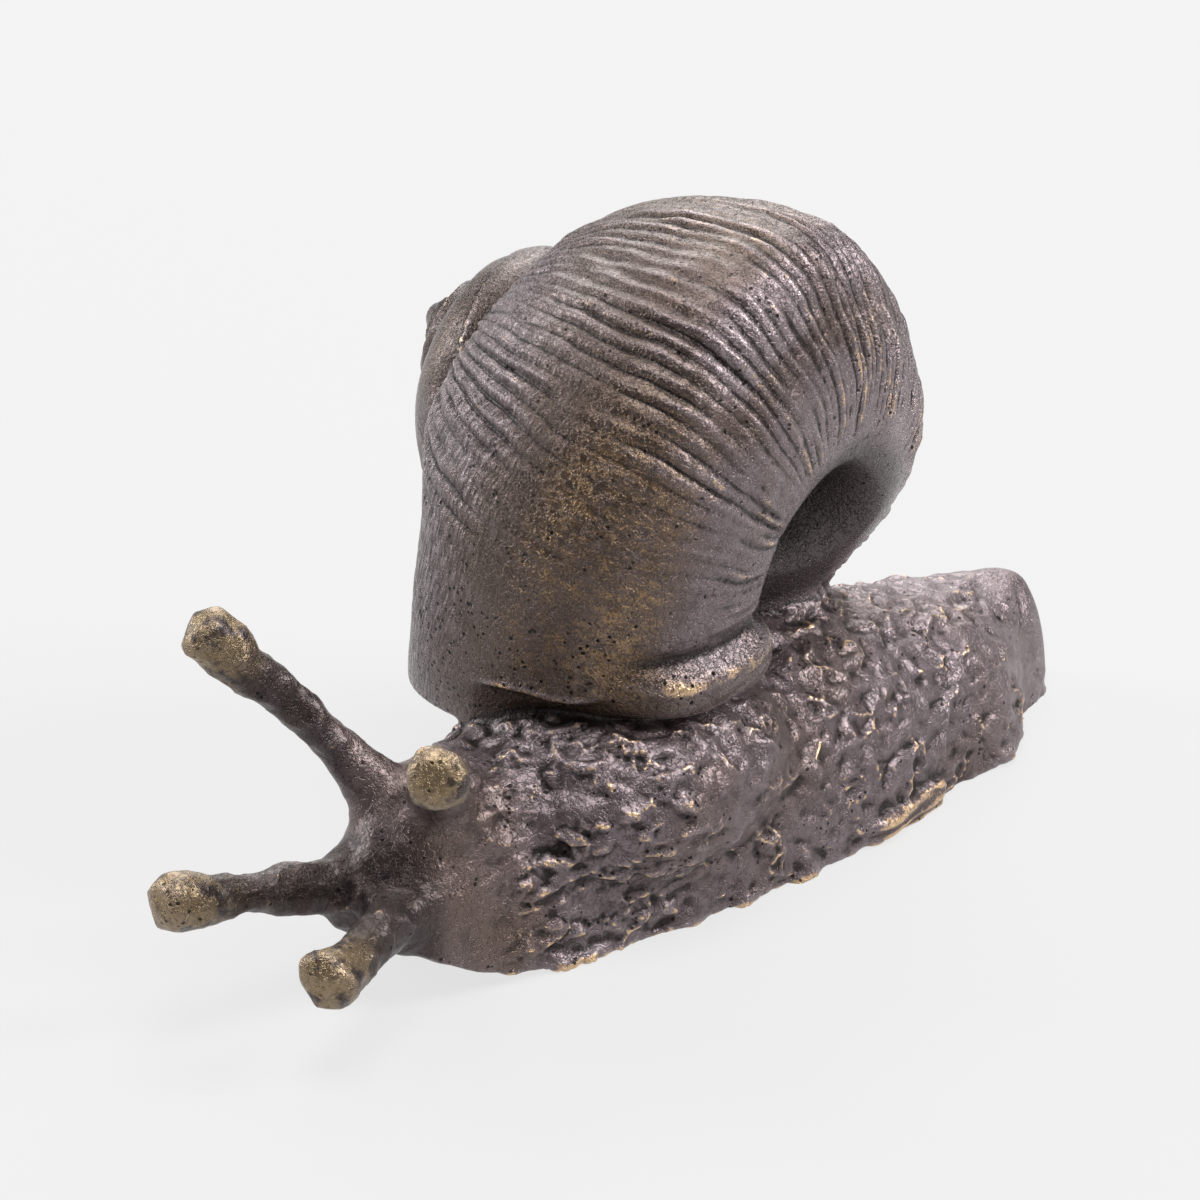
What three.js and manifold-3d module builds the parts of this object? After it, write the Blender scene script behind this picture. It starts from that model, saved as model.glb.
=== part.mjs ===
// A garden snail cast in bronze: foot, head, four tentacles and coiled shell, all one piece of metal.
// Millimetres. +X is the way the snail heads, +Y its left side, +Z up, and the foot rests on z = 0.
// While it is built, x = y = 0 is the middle of the foot. The last step moves the origin to the
// middle of the whole casting's box, on the ground.

import * as THREE from 'three';
import { mergeVertices } from 'three/addons/utils/BufferGeometryUtils.js';
import Module from 'manifold-3d';

const wasm = await Module();
wasm.setup();

// ---- driving dimensions -----------------------------------------------------------------------

// The shell coils about an axis that leaves the snail's right side and rises towards the apex.
const axisHeading = -82;
const axisRise = 19.5;
const axisPoint = new THREE.Vector3(-7.5, -6.3, 28.8);
const apexHeight = 21.4;
const lipAngle = -53;
const growthPerTurn = 1.9;
const sectionPoints = 24;
// Not a whole number, so that rings of neighbouring whorls never lie in one plane.
const ringsPerTurn = 23.6;
const ringsBeyondLip = -3;
const mouthRings = 10;
const ringsPerPiece = 10;
const apexRing = 80;
const apexTipRadius = 2.2;
const apexTipSegments = [12, 8];
const apexTipDepth = 2.9;
const pillarFoot = -3;
const pillarTop = 19;
const pillarFootRadius = 5;
const pillarTopRadius = 1.4;
const pillarSides = 16;

// Cross-sections of the last whorl, listed by how many turns they lie back from the lip.
// outer, shoulder and inner are distances from the axis; spire, keel and base are heights along it.
// The two exponents say how square the section is on its spire side and on its base side.
const whorl = [
  { turn: -0.125, outer: 29.0, shoulder: 20.0, inner: 11.0, spire: 5.0, keel: -8.0, base: -14.5, a: 3.2, b: 2.0 },
  { turn: 0.0, outer: 28.6, shoulder: 17.0, inner: 8.0, spire: 6.1, keel: -8.0, base: -19.6, a: 3.9, b: 2.0 },
  { turn: 0.06, outer: 27.6, shoulder: 15.0, inner: 7.0, spire: 6.1, keel: -6.5, base: -19.0, a: 3.3, b: 2.1 },
  { turn: 0.125, outer: 26.0, shoulder: 13.0, inner: 6.5, spire: 9.3, keel: -5.5, base: -17.8, a: 2.0, b: 2.2 },
  { turn: 0.18, outer: 25.2, shoulder: 11.5, inner: 6.0, spire: 12.1, keel: -5.5, base: -16.7, a: 1.8, b: 2.2 },
  { turn: 0.25, outer: 24.3, shoulder: 10.0, inner: 5.5, spire: 12.4, keel: -5.5, base: -15.9, a: 1.75, b: 2.2 },
  { turn: 0.35, outer: 23.5, shoulder: 8.6, inner: 4.6, spire: 12.5, keel: -5.5, base: -15.6, a: 1.65, b: 2.0 },
  { turn: 0.43, outer: 22.0, shoulder: 8.0, inner: 4.3, spire: 12.8, keel: -5.5, base: -15.8, a: 1.7, b: 1.9 },
  { turn: 0.5, outer: 20.2, shoulder: 7.5, inner: 4.0, spire: 13.6, keel: -5.5, base: -16.4, a: 1.65, b: 1.95 },
  { turn: 0.6, outer: 20.2, shoulder: 7.0, inner: 3.4, spire: 14.6, keel: -5.3, base: -17.0, a: 1.65, b: 2.15 },
  { turn: 0.75, outer: 19.7, shoulder: 6.5, inner: 2.5, spire: 15.8, keel: -5.0, base: -15.3, a: 1.75, b: 2.2 },
  { turn: 1.0, outer: 15.0, shoulder: 5.0, inner: 1.5, spire: 16.8, keel: 2.0, base: -9.0, a: 1.9, b: 2.0 },
];

// Below this height the whorl's front is cut away: it is the plane of the shell's mouth.
const mouthHeight = 14.2;
const cutterSize = 100;

// Sections of the foot and head, from tail to snout: middle and half width across, top and underside.
const body = [
  { x: -43.4, middle: 4.4, half: 1.5, top: 6.2, under: 1.5 },
  { x: -41.8, middle: 4.0, half: 4.2, top: 9.2, under: 0.0 },
  { x: -36.0, middle: 2.9, half: 7.1, top: 10.1, under: 0.0 },
  { x: -29.0, middle: 3.1, half: 10.2, top: 11.7, under: 0.0 },
  { x: -22.0, middle: 1.9, half: 11.3, top: 13.2, under: 0.0 },
  { x: -8.0, middle: 1.0, half: 13.0, top: 15.6, under: 0.0 },
  { x: 8.0, middle: 0.3, half: 11.5, top: 15.4, under: 0.0 },
  { x: 18.0, middle: -0.2, half: 9.4, top: 14.6, under: 0.0 },
  { x: 25.0, middle: -0.4, half: 7.3, top: 15.3, under: 0.8 },
  { x: 30.5, middle: 0.0, half: 5.3, top: 13.0, under: 3.4 },
  { x: 34.0, middle: 0.0, half: 1.5, top: 8.5, under: 5.5 },
];
const bodyRings = 26;
const archPoints = 20;
const soleLines = [-0.5, 0, 0.5];
const flankPower = 0.85;
const crownPower = 0.9;

// The mantle swells the foot up against the shell's mouth: its middle and half sizes.
const mantleMiddle = new THREE.Vector3(7, 3, 10);
const mantleHalf = new THREE.Vector3(14, 11.5, 8.1);
const mantleSegments = [20, 14];

// Each tentacle: its centre line from inside the head to the tip, and the radius at each point.
const tentacles = {
  upperRight: {
    line: [[26, -1.5, 10], [28.2, -3.4, 14.3], [30.4, -5.6, 18.3], [33.2, -8.2, 22.5], [36.9, -11, 27]],
    radii: [3.2, 2.1, 1.5, 1.6, 2.1],
  },
  upperLeft: {
    line: [[26.8, 2.2, 13.2], [30.0, 4.9, 17.8], [33.6, 7.8, 20.3], [37.5, 11, 22.5]],
    radii: [2.4, 1.7, 1.6, 2.2],
  },
  lowerRight: {
    line: [[29, -2, 7], [35, -3.5, 8.5], [40, -5.2, 9.4], [45.4, -6.9, 10.4]],
    radii: [3.0, 1.9, 1.5, 2.3],
  },
  lowerLeft: {
    line: [[29, 2, 7], [34, 3.5, 7.5], [39, 5, 7.5], [43.5, 6, 7.6]],
    radii: [3.0, 1.9, 1.7, 2.2],
  },
};
const tentacleRings = 12;
const tentaclePoints = 12;
const tipDome = 0.6;
const tipBends = [30, 60, 80];

// ---- smooth curves through stations -------------------------------------------------------------

// Monotone cubic slopes: the curve through the values never overshoots a station.
function slopes(xs, ys) {
  const steps = xs.slice(1).map((x, i) => x - xs[i]);
  const rises = steps.map((step, i) => (ys[i + 1] - ys[i]) / step);
  const last = rises.length;
  return xs.map((x, i) => {
    if (i === 0) return rises[0];
    if (i === last) return rises[last - 1];
    const [before, after] = [rises[i - 1], rises[i]];
    if (before * after <= 0) return 0;
    const w1 = 2 * steps[i] + steps[i - 1];
    const w2 = steps[i] + 2 * steps[i - 1];
    return (w1 + w2) / (w1 / before + w2 / after);
  });
}

function smooth(xs, ys) {
  const m = slopes(xs, ys);
  return (x) => {
    let i = 0;
    while (i < xs.length - 2 && x > xs[i + 1]) i += 1;
    const step = xs[i + 1] - xs[i];
    const s = THREE.MathUtils.clamp((x - xs[i]) / step, 0, 1);
    const startWeight = (1 + 2 * s) * (1 - s) * (1 - s);
    const endWeight = s * s * (3 - 2 * s);
    const bend = step * s * (1 - s) * ((1 - s) * m[i] - s * m[i + 1]);
    return startWeight * ys[i] + endWeight * ys[i + 1] + bend;
  };
}

function smoothStations(stations, key) {
  const xs = stations.map((station) => station[key]);
  const names = Object.keys(stations[0]);
  const curves = names.map((name) => smooth(xs, stations.map((station) => station[name])));
  return (x) => Object.fromEntries(names.map((name, i) => [name, curves[i](x)]));
}

// ---- closed solids from rings ---------------------------------------------------------------------

function solid(geometry) {
  geometry.deleteAttribute('normal');
  geometry.deleteAttribute('uv');
  const merged = mergeVertices(geometry);
  const vertProperties = Float32Array.from(merged.attributes.position.array);
  const triVerts = Uint32Array.from(merged.index.array);
  return new wasm.Manifold(new wasm.Mesh({ numProp: 3, vertProperties, triVerts }));
}

// Skins a list of rings, each with the same number of points, and closes both ends. Seen from the
// last ring, the points of every ring run anticlockwise.
function loft(rings) {
  const count = rings[0].length;
  const points = rings.flat();
  const firstCentre = points.length;
  const centre = (ring) => ring.reduce((sum, p) => sum.add(p), new THREE.Vector3()).divideScalar(count);
  points.push(centre(rings[0]), centre(rings[rings.length - 1]));
  const faces = [];
  const lastStart = (rings.length - 1) * count;
  for (let k = 0; k < count; k += 1) {
    const next = (k + 1) % count;
    faces.push(firstCentre, next, k);
    faces.push(firstCentre + 1, lastStart + k, lastStart + next);
    for (let start = 0; start < lastStart; start += count) {
      faces.push(start + k, start + next, start + count + next);
      faces.push(start + k, start + count + next, start + count + k);
    }
  }
  const geometry = new THREE.BufferGeometry().setFromPoints(points);
  geometry.setIndex(faces);
  return solid(geometry);
}

// ---- shell ----------------------------------------------------------------------------------------

const heading = THREE.MathUtils.degToRad(axisHeading);
const rise = THREE.MathUtils.degToRad(axisRise);
const axis = new THREE.Vector3(
  Math.cos(rise) * Math.cos(heading),
  Math.cos(rise) * Math.sin(heading),
  Math.sin(rise),
);
const ahead = new THREE.Vector3(1, 0, 0).projectOnPlane(axis).normalize();
const above = new THREE.Vector3().crossVectors(axis, ahead);
const apex = axisPoint.clone().addScaledVector(axis, apexHeight);
const whorlAt = smoothStations(whorl, 'turn');

const powered = (value, exponent) => Math.sign(value) * Math.abs(value) ** (2 / exponent);

// One ring round the coiled tube. Past one turn back, every whorl repeats the last at a smaller size.
function whorlRing(turn) {
  const section = whorlAt(Math.min(turn, 1));
  const size = growthPerTurn ** -Math.max(turn - 1, 0);
  const angle = THREE.MathUtils.degToRad(lipAngle) + 2 * Math.PI * turn;
  const outward = ahead.clone().multiplyScalar(Math.cos(angle)).addScaledVector(above, Math.sin(angle));
  const ring = [];
  for (let k = 0; k < sectionPoints; k += 1) {
    const around = (2 * Math.PI * k) / sectionPoints;
    const [c, s] = [Math.cos(around), Math.sin(around)];
    const side = s > 0 ? section.a : section.b;
    const exponent = c > 0 ? side : 2;
    const width = c > 0 ? section.outer - section.shoulder : section.shoulder - section.inner;
    const height = s > 0 ? section.spire - section.keel : section.keel - section.base;
    const radius = section.shoulder + width * powered(c, exponent);
    const level = section.keel + height * powered(s, exponent);
    const point = apex.clone().addScaledVector(outward, size * radius);
    ring.push(point.addScaledVector(axis, size * (level - apexHeight)));
  }
  return ring;
}

// Rings are counted back from the lip, so neighbouring pieces share their end ring exactly.
function whorlPiece(firstRing, lastRing) {
  const rings = [];
  for (let i = firstRing; i <= lastRing; i += 1) rings.unshift(whorlRing(i / ringsPerTurn));
  return loft(rings);
}

// The pillar that the whorls wind round, so that no hollow is left shut in along the axis.
function makePillar() {
  const length = pillarTop - pillarFoot;
  const pillar = new THREE.CylinderGeometry(pillarTopRadius, pillarFootRadius, length, pillarSides);
  pillar.applyQuaternion(new THREE.Quaternion().setFromUnitVectors(new THREE.Vector3(0, 1, 0), axis));
  const middle = axisPoint.clone().addScaledVector(axis, (pillarTop + pillarFoot) / 2);
  return solid(pillar.translate(middle.x, middle.y, middle.z));
}

function makeShell() {
  const belowMouth = new THREE.BoxGeometry(cutterSize, cutterSize, cutterSize);
  belowMouth.translate(0, 0, mouthHeight - cutterSize / 2);
  let shell = whorlPiece(ringsBeyondLip, mouthRings).subtract(solid(belowMouth));
  for (let ring = mouthRings; ring < apexRing; ring += ringsPerPiece) {
    shell = shell.add(whorlPiece(ring, Math.min(ring + ringsPerPiece, apexRing)));
  }
  shell = shell.add(makePillar());
  const tipCentre = apex.clone().addScaledVector(axis, -apexTipDepth);
  const tip = new THREE.SphereGeometry(apexTipRadius, ...apexTipSegments);
  return shell.add(solid(tip.translate(tipCentre.x, tipCentre.y, tipCentre.z)));
}

// ---- foot and head --------------------------------------------------------------------------------

function bodyRing(section) {
  const ring = [];
  for (let k = 0; k <= archPoints; k += 1) {
    const around = (Math.PI * k) / archPoints;
    const across = Math.sign(Math.cos(around)) * Math.abs(Math.cos(around)) ** flankPower;
    const up = Math.max(Math.sin(around), 0) ** crownPower;
    const y = section.middle + section.half * across;
    ring.push(new THREE.Vector3(section.x, y, section.under + (section.top - section.under) * up));
  }
  for (const across of soleLines) {
    ring.push(new THREE.Vector3(section.x, section.middle + section.half * across, section.under));
  }
  return ring;
}

function makeBody() {
  const stations = body.map((section, i) => ({ place: i, ...section }));
  const bodyAt = smoothStations(stations, 'place');
  const rings = [];
  for (let i = 0; i <= bodyRings; i += 1) rings.push(bodyRing(bodyAt(((body.length - 1) * i) / bodyRings)));
  return loft(rings);
}

function makeMantle() {
  const mantle = new THREE.SphereGeometry(1, ...mantleSegments);
  mantle.scale(mantleHalf.x, mantleHalf.y, mantleHalf.z);
  return solid(mantle.translate(mantleMiddle.x, mantleMiddle.y, mantleMiddle.z));
}

// ---- tentacles --------------------------------------------------------------------------------------

function makeTentacle({ line, radii }) {
  const curve = new THREE.CatmullRomCurve3(line.map((p) => new THREE.Vector3(...p)));
  const radiusAt = smooth(radii.map((radius, i) => i), radii);
  const rings = [];
  const addRing = (centre, along, radius) => {
    const sideways = new THREE.Vector3(0, 0, 1).cross(along).normalize();
    const upwards = new THREE.Vector3().crossVectors(along, sideways);
    const ring = [];
    for (let k = 0; k < tentaclePoints; k += 1) {
      const around = (2 * Math.PI * k) / tentaclePoints;
      const point = centre.clone().addScaledVector(sideways, radius * Math.cos(around));
      ring.push(point.addScaledVector(upwards, radius * Math.sin(around)));
    }
    rings.push(ring);
  };
  for (let i = 0; i <= tentacleRings; i += 1) {
    const s = i / tentacleRings;
    addRing(curve.getPoint(s), curve.getTangent(s), radiusAt(s * (radii.length - 1)));
  }
  const tip = curve.getPoint(1);
  const along = curve.getTangent(1);
  const tipRadius = radii[radii.length - 1];
  for (const bend of tipBends) {
    const angle = THREE.MathUtils.degToRad(bend);
    const centre = tip.clone().addScaledVector(along, tipDome * tipRadius * Math.sin(angle));
    addRing(centre, along, tipRadius * Math.cos(angle));
  }
  return loft(rings);
}

// ---- the casting ------------------------------------------------------------------------------------

function castingGeometry() {
  let casting = makeBody().add(makeMantle()).add(makeShell());
  for (const tentacle of Object.values(tentacles)) casting = casting.add(makeTentacle(tentacle));
  const { vertProperties, triVerts } = casting.getMesh();
  const geometry = new THREE.BufferGeometry();
  geometry.setAttribute('position', new THREE.BufferAttribute(vertProperties, 3));
  geometry.setIndex(new THREE.BufferAttribute(triVerts, 1));
  geometry.computeBoundingBox();
  const middle = geometry.boundingBox.getCenter(new THREE.Vector3());
  geometry.translate(-middle.x, -middle.y, -geometry.boundingBox.min.z);
  geometry.computeVertexNormals();
  return geometry;
}

const bronze = new THREE.MeshStandardMaterial({ color: 0x4a3f3a, roughness: 0.42, metalness: 0.9 });
const casting = new THREE.Mesh(castingGeometry(), bronze);
casting.name = 'snail_casting';

const group = new THREE.Group();
group.add(casting);

export default group;
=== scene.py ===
"""Looks of a garden snail cast in dark patinated bronze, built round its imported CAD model.

The casting is one piece of metal, so it is one skin. Its smooth form is worked out from the same named
sizes as the CAD solid, as distance fields that are joined with small fillets. The skin is then worked
over the way the modeller's wax was: growth folds on the shell, wrinkled hide on the foot, dents on the
tentacles. Sizes are in millimetres in the modelling frame (+X ahead, +Y the snail's left, +Z up,
x = y = 0 the middle of the foot), and the finished mesh is in metres in the frame of the CAD model.
"""

import math
from itertools import product

import bpy
import numpy as np
import openvdb
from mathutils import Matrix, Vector


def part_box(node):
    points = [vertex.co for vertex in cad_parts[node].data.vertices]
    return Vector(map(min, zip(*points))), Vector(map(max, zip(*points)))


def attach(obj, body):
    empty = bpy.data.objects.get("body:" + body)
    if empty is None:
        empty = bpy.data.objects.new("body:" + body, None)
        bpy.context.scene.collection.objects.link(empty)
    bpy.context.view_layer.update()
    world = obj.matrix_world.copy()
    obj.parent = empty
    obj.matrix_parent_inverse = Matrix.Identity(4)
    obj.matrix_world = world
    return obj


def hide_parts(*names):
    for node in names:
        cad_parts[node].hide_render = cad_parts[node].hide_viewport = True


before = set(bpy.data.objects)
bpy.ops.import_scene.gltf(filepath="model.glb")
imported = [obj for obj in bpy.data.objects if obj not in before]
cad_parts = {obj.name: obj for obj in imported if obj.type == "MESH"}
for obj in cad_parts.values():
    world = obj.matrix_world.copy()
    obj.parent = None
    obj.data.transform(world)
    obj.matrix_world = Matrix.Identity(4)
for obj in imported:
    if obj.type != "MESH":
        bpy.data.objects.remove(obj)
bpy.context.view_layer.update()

MM = 0.001
SEED = 11

# ---- driving sizes, the same as the CAD solid's ---------------------------------------------------

AXIS_HEADING = -82.0
AXIS_RISE = 19.5
AXIS_POINT = (-7.5, -6.3, 28.8)
APEX_HEIGHT = 21.4
LIP_ANGLE = -53.0
GROWTH_PER_TURN = 1.9
MOUTH_HEIGHT = 14.2
APEX_TIP_RADIUS = 2.2
APEX_TIP_DEPTH = 2.9
PILLAR_FOOT, PILLAR_TOP = -3.0, 19.0
PILLAR_FOOT_RADIUS, PILLAR_TOP_RADIUS = 5.0, 1.4
# Turns back from the lip: both ends of the coil's front piece, and the coil's end by the apex. The
# CAD solid's own pieces end at the rings nearest to these.
FIRST_TURN = -0.125
FRONT_PIECE_END = 0.43
LAST_TURN = 3.4

# Sections of the last whorl: turn back from the lip, then distances from the axis (outer, shoulder,
# inner), heights along it (spire, keel, base), and how square the spire side and base side are.
WHORL = (
    (-0.125, 29.0, 20.0, 11.0, 5.0, -8.0, -14.5, 3.2, 2.0),
    (0.0, 28.6, 17.0, 8.0, 6.1, -8.0, -19.6, 3.9, 2.0),
    (0.06, 27.6, 15.0, 7.0, 6.1, -6.5, -19.0, 3.3, 2.1),
    (0.125, 26.0, 13.0, 6.5, 9.3, -5.5, -17.8, 2.0, 2.2),
    (0.18, 25.2, 11.5, 6.0, 12.1, -5.5, -16.7, 1.8, 2.2),
    (0.25, 24.3, 10.0, 5.5, 12.4, -5.5, -15.9, 1.75, 2.2),
    (0.35, 23.5, 8.6, 4.6, 12.5, -5.5, -15.6, 1.65, 2.0),
    (0.43, 22.0, 8.0, 4.3, 12.8, -5.5, -15.8, 1.7, 1.9),
    (0.5, 20.2, 7.5, 4.0, 13.6, -5.5, -16.4, 1.65, 1.95),
    (0.6, 20.2, 7.0, 3.4, 14.6, -5.3, -17.0, 1.65, 2.15),
    (0.75, 19.7, 6.5, 2.5, 15.8, -5.0, -15.3, 1.75, 2.2),
    (1.0, 15.0, 5.0, 1.5, 16.8, 2.0, -9.0, 1.9, 2.0),
)

# Sections of the foot and head from tail to snout: x, middle and half width across, top, underside.
BODY = (
    (-43.4, 4.4, 1.5, 6.2, 1.5),
    (-41.8, 4.0, 4.2, 9.2, 0.0),
    (-36.0, 2.9, 7.1, 10.1, 0.0),
    (-29.0, 3.1, 10.2, 11.7, 0.0),
    (-22.0, 1.9, 11.3, 13.2, 0.0),
    (-8.0, 1.0, 13.0, 15.6, 0.0),
    (8.0, 0.3, 11.5, 15.4, 0.0),
    (18.0, -0.2, 9.4, 14.6, 0.0),
    (25.0, -0.4, 7.3, 15.3, 0.8),
    (30.5, 0.0, 5.3, 13.0, 3.4),
    (34.0, 0.0, 1.5, 8.5, 5.5),
)
# The mantle swells the foot up against the shell's mouth: middle and half sizes.
MANTLE_MIDDLE = (7.0, 3.0, 10.0)
MANTLE_HALF = (14.0, 11.5, 8.1)
FLANK_POWER = 0.85
CROWN_POWER = 0.9

# Each tentacle: its centre line from inside the head to the tip, and the radius at each point.
TENTACLES = {
    "upper_right": (
        ((26, -1.5, 10), (28.2, -3.4, 14.3), (30.4, -5.6, 18.3), (33.2, -8.2, 22.5), (36.9, -11, 27)),
        (3.2, 2.1, 1.5, 1.6, 2.1),
    ),
    "upper_left": (
        ((26.8, 2.2, 13.2), (30.0, 4.9, 17.8), (33.6, 7.8, 20.3), (37.5, 11, 22.5)),
        (2.4, 1.7, 1.6, 2.2),
    ),
    "lower_right": (
        ((29, -2, 7), (35, -3.5, 8.5), (40, -5.2, 9.4), (45.4, -6.9, 10.4)),
        (3.0, 1.9, 1.5, 2.3),
    ),
    "lower_left": (
        ((29, 2, 7), (34, 3.5, 7.5), (39, 5, 7.5), (43.5, 6, 7.6)),
        (3.0, 1.9, 1.7, 2.2),
    ),
}
TIP_DOME = 0.6

# ---- form that only the skin has ------------------------------------------------------------------

# The line of the shell's mouth: its height, the x of its middle (where y = 0), and its way rearward.
LIP_LEVEL = 19.0
LIP_MIDDLE = 6.0
LIP_DIRECTION = (-0.629, 0.777)
# The shell's front is tucked in from this far under the lip, though not by the head: distances
# along the mouth from its middle as (none, full), less than 0 towards the head.
TUCK_BELOW_LIP = 1.2
TUCK_SLOPE = 0.8
TUCK_ALONG_LIP = (-8, -3)

# Fillets: between whorls, inside the umbilicus, at the apex, and where the parts of the snail join.
SUTURE_FILLET = 0.05
INNER_CORNER_FILLET = 2.0
APEX_FILLET = 0.5
MANTLE_FILLET = 1.5
TENTACLE_FILLET = 1.6
SHELL_FILLET = 1.3
BACK_FILLET = 3.9
# The umbilicus's fillet lies behind this x, and at heights given as (full, none).
INNER_CORNER_X = 2
INNER_CORNER_TOP = (22, 26)
# Behind the middle of the foot, the shell's fillet widens to the back one, as (none, full).
BACK_FILLET_BEHIND = (8, 16)

# ---- relief of the surface ------------------------------------------------------------------------

SEAM_WIDTH = 0.6
SEAM_DEPTH = 0.5
FOLDS_PER_TURN = 100
FOLD_HEIGHT = 0.48
HIDE_HEIGHT = 0.7
LUMP_SPACING = 3.4
KNOB_SPACING = 1.4
FACET_SPACING = 1.9
BROAD_DENT_SPACING = 3.0
NARROW_DENT_SPACING = 1.5

# Distances along the shell's mouth, as (none, full), and for the ledge as (full, none).
LIP_STARTS = (-10, -7)
BEAD_SWELLS = (-1, 6)
BEAD_RUBBED = (0, 5)
GROOVE_SWELLS = (-2, 5)
LEDGE_FADES = (-3, 2)
UNDER_LIP_STARTS = (-10, -6)

# The bead along the shell's mouth, the groove above it and the ledge that it fades to. The bead also
# comes in along x.
BEAD_HEIGHT = 1.5
BEAD_HALF_WIDTH = 1.8
BEAD_FADES = (-6, -1)
GROOVE_DEPTH = 0.35
GROOVE_HALF_WIDTH = 0.7
GROOVE_ABOVE_BEAD = 2.8
LEDGE_HEIGHT = 0.45
LEDGE_HALF_WIDTH = 0.6

# The valley round the base side of the last whorl: its angle round the section and its spread, how
# far below that angle it starts, minus the turns over which it climbs, and the turns that it shows at.
VALLEY_DEPTH = 0.55
VALLEY_ANGLE = -0.66
VALLEY_SPREAD = 0.24
VALLEY_CLIMB = 2.6
VALLEY_CLIMBS = (-0.27, -0.17)
VALLEY_REACH = (0.2, 0.29, 0.5, 0.65)

# The fold across the left side of the tail leans back by its slope from where it meets the ground.
TAIL_FOLD_X = -30.5
TAIL_FOLD_SLOPE = 1.0
TAIL_FOLD_WIDTH = 0.5
TAIL_CAP_SINK = 0.4

# ---- where the relief and the bronze change -------------------------------------------------------

# Regions are (starts, full, fades, ends), (none, full) or, for what stops there, (full, none).
# Turns back from the lip, and angles round the section (0 outward, more towards the spire):
LIP_TURNS = (0.2, 0.3)
FOLD_TURNS = (0.12, 0.32)
VALLEY_TURNS = (0.22, 0.3, 0.45, 0.55)
VALLEY_ANGLES = (-0.98, -0.78, -0.64, -0.48)
RUBBED_TURNS = (0.0, 0.07, 0.36, 0.52)
GOLD_TURNS = (0.085, 0.14, 0.2, 0.31)
GOLD_ANGLES = (-1.1, -0.6, -0.05, 0.35)
# The pale patch on the last whorl is a painted highlight, where a softbox's reflection falls.
HIGHLIGHT_PATCH_TURNS = (0.275, 0.31, 0.35, 0.39)
HIGHLIGHT_PATCH_ANGLES = (-0.7, -0.56, -0.28, -0.08)
# The base side and the rim of the last whorl get a painted sheen.
SHEEN_BASE_TURNS, SHEEN_BASE_ANGLES = (0.22, 0.34), (-0.85, -1.15)
SHEEN_RIM_TURNS, SHEEN_RIM_ANGLES = (0.42, 0.5), (-0.55, -0.85)
TOP_TURNS, TOP_ANGLES = (0.32, 0.4), (-0.15, 0.15)
BRUSHED_TURNS, BRUSHED_ANGLES = (0.33, 0.17), (0.1, 0.75)

# Along the foot, ahead of its middle: the browner head, its smooth part and the wrinkled shoulder.
HEAD = (18, 26)
SMOOTH_HEAD = (21, 28)
SHOULDER = (8, 14, 24, 28)
# Behind its middle: the smooth end of the tail, its worn part and its pale part.
SMOOTH_TAIL = (38.5, 41)
WORN_TAIL = (30, 38)
PALE_TAIL = (22, 32)
# Across it and above the ground: its left side, its rim and its flat sole.
LEFT_SIDE = (4, 6.5)
RIM_HEIGHT = (0.4, 2.4)
SOLE_HEIGHT = (0.3, 0.8)
# How squarely the sole's skin faces down, 1 being straight down.
SOLE_FACING = (0.75, 0.95)
# The flap at the foot's left rim: across, along and above the ground.
FLAP_ACROSS = (5, 8)
FLAP_ALONG = (-20, -18.5, -11, -8)
FLAP_HEIGHT = (1.6, 2.4)
# The tentacles: all four lie ahead of the first, and the upper two also behind it but high up.
STALKS_AHEAD = (29.5, 33)
UPPER_STALKS_AHEAD, UPPER_STALKS_ABOVE = (24, 27), (15.5, 18)
# Distance from the nearest tentacle's tip over which the tip's brass ends.
TIP_REACH = (1.5, 6.0)
# The face along the head, painted dark as shade, by the tips and away from them, and the distance where
# these change.
FACE_BY_TIPS, FACE_AWAY = (28, 31), (29, 32)
FACE_REACH = (8, 12)
# The umbilicus, painted darker as shade and as settled patina: distance from the shell's axis and height
# along it.
POCKET_RADIUS = (7, 12)
POCKET_LEVEL = (0, 6)
# The folds start this far from the shell's axis.
FOLD_RADIUS = (9, 13)

# The dark patina also serves as painted shade on the face and in the umbilicus.
DARK_PATINA_AND_SHADE = (0.030, 0.023, 0.022, 1)
GREY_PATINA = (0.190, 0.150, 0.160, 1)
BROWN_PATINA = (0.145, 0.100, 0.080, 1)
# The worn grey also serves as painted sheen and a painted highlight on the shell.
WORN_AND_SHEEN_GREY = (0.32, 0.26, 0.275, 1)
RUBBED_BROWN = (0.080, 0.052, 0.032, 1)
RUBBED_GOLD = (0.36, 0.22, 0.10, 1)
TIP_BRASS = (0.31, 0.225, 0.13, 1)
BRIGHT_GOLD = (0.78, 0.53, 0.30, 1)
PINHOLE_BLACK = (0.004, 0.003, 0.003, 1)

# ---- grid that the skin is worked out on ----------------------------------------------------------

CELL = 0.26
FIELD_LOW = (-46.0, -29.0, -3.0)
FIELD_HIGH = (50.0, 17.0, 52.0)
BAND = 3.2
# Rings, and points in each ring, of the closed surfaces that the shell's fields are measured from.
FRONT_MESH = (260, 200)
COIL_MESH = (1100, 160)
PIECE_OVERLAP = 0.01
SMOOTHING_ROUNDS = 2
FIELD_START = tuple(int(math.floor(low / CELL)) for low in FIELD_LOW)
FIELD_SHAPE = tuple(int(round((high - low) / CELL)) for low, high in zip(FIELD_LOW, FIELD_HIGH))


# ---- smooth curves through stations ---------------------------------------------------------------

def slopes(xs, ys):
    """Monotone cubic slopes, so that the curve never overshoots a station."""
    steps = np.diff(xs)
    rises = np.diff(ys) / steps
    found = np.zeros(len(xs))
    found[0], found[-1] = rises[0], rises[-1]
    for i in range(1, len(xs) - 1):
        before, after = rises[i - 1], rises[i]
        if before * after > 0:
            w1 = 2 * steps[i] + steps[i - 1]
            w2 = steps[i] + 2 * steps[i - 1]
            found[i] = (w1 + w2) / (w1 / before + w2 / after)
    return found


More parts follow.
